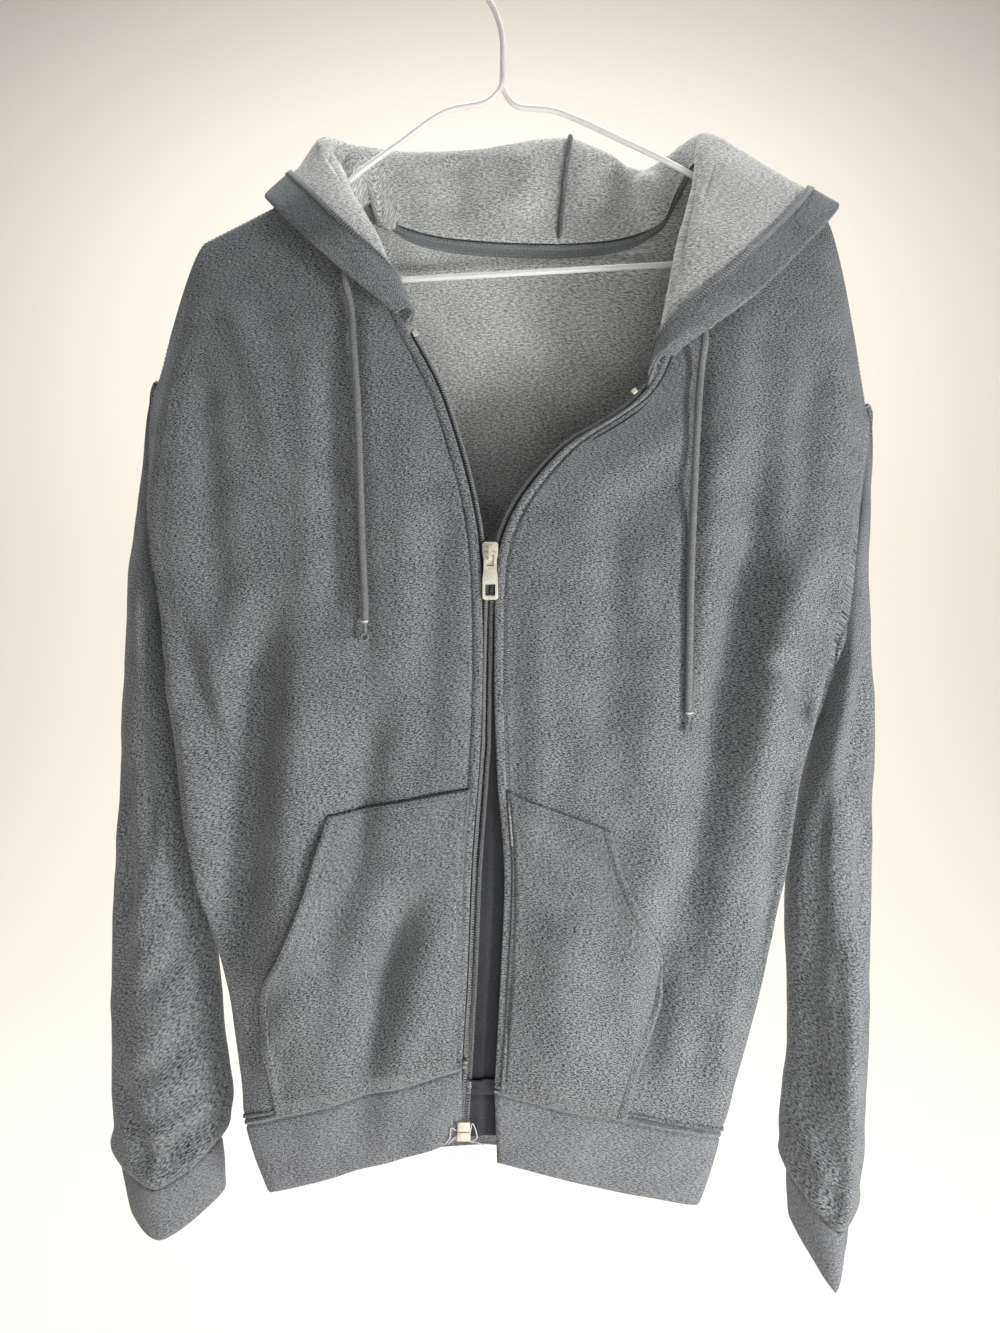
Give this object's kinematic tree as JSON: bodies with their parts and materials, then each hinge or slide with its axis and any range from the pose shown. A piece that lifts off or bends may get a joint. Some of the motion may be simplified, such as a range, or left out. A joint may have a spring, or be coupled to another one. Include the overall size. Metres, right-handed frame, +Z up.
{
  "type": "zip hoodie on a wire hanger",
  "caption": "Half-zipped hooded sweatshirt with ribbed cuffs and hem, slanted front pockets and a drawcord, hanging on a bent wire hanger.",
  "frame": {"origin": "underside of the crown of the hanger's hook, where a rail or wall hook carries it", "axes": "+Z up, +X to the right as seen from the front, the front faces -Y"},
  "size_m": [0.582, 0.1411, 1.0073],
  "materials": {
    "jersey": "brushed fleece, heather blue grey",
    "rib_knit": "ribbed knit, heather grey",
    "dark_tape": "woven tape",
    "coil": "coil and woven tape",
    "nickel": "pale plated metal",
    "braid": "round braid",
    "white_coat": "white plastic coating"
  },
  "bodies": {
    "garment": {"front_left": "jersey", "front_right": "jersey", "back": "jersey", "sleeve_left": "jersey", "sleeve_right": "jersey", "cuff_left": "rib_knit", "cuff_right": "rib_knit", "hem_rib": "rib_knit", "hood_left": "jersey", "hood_right": "jersey", "neck_tape": "dark_tape", "pocket_left": "jersey", "pocket_right": "jersey", "zip_tape_left": "coil", "zip_tape_right": "coil", "zip_slider": "nickel", "top_stop_left": "nickel", "top_stop_right": "nickel", "zip_box": "nickel", "eyelet_left": "nickel", "eyelet_right": "nickel", "drawcord_left": "braid", "drawcord_right": "braid", "hanger": "white_coat"},
    "pull_tab": {"pull_tab": "nickel"}
  },
  "joints": [
    {"name": "pull_tab_hinge", "type": "hinge", "parent": "garment", "child": "pull_tab", "pos_m": [-0.001, -0.03677, -0.4625], "axis": [-1, 0, 0], "range_deg": [0, 160]}
  ]
}
